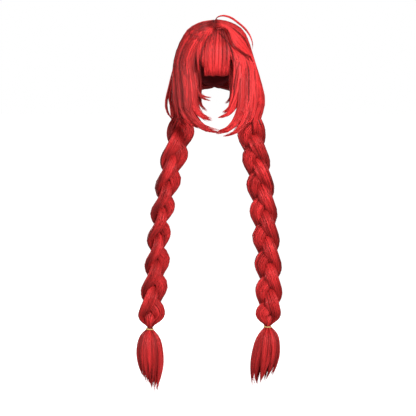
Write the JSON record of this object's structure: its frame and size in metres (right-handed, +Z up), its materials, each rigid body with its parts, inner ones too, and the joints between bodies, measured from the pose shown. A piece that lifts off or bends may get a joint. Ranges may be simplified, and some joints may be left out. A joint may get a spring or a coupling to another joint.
{
  "type": "red costume wig with twin plaits",
  "caption": "Long red costume wig on a stretch cap, with a blunt fringe, curtain side locks, a springy top lock and side plaits that end in banded tails.",
  "frame": {"origin": "inside top of the cap, where the crown of the head carries the wig", "axes": "+Z up along the wearer's head, the face looks along -Y, +X to the right as seen from the front"},
  "size_m": [0.3605, 0.2319, 0.9372],
  "materials": {
    "hair": "soft sheen of synthetic hair fibre",
    "cap": "matte stretch net",
    "band": "satin elastic"
  },
  "bodies": {
    "root": {"cap": "cap", "crown_left": "hair", "crown_right": "hair", "side_locks_left": "hair", "side_locks_right": "hair", "fringe": "hair", "top_lock": "hair", "plait_left": "hair", "band_left": "band", "tail_left": "hair", "plait_right": "hair", "band_right": "band", "tail_right": "hair"}
  },
  "joints": []
}
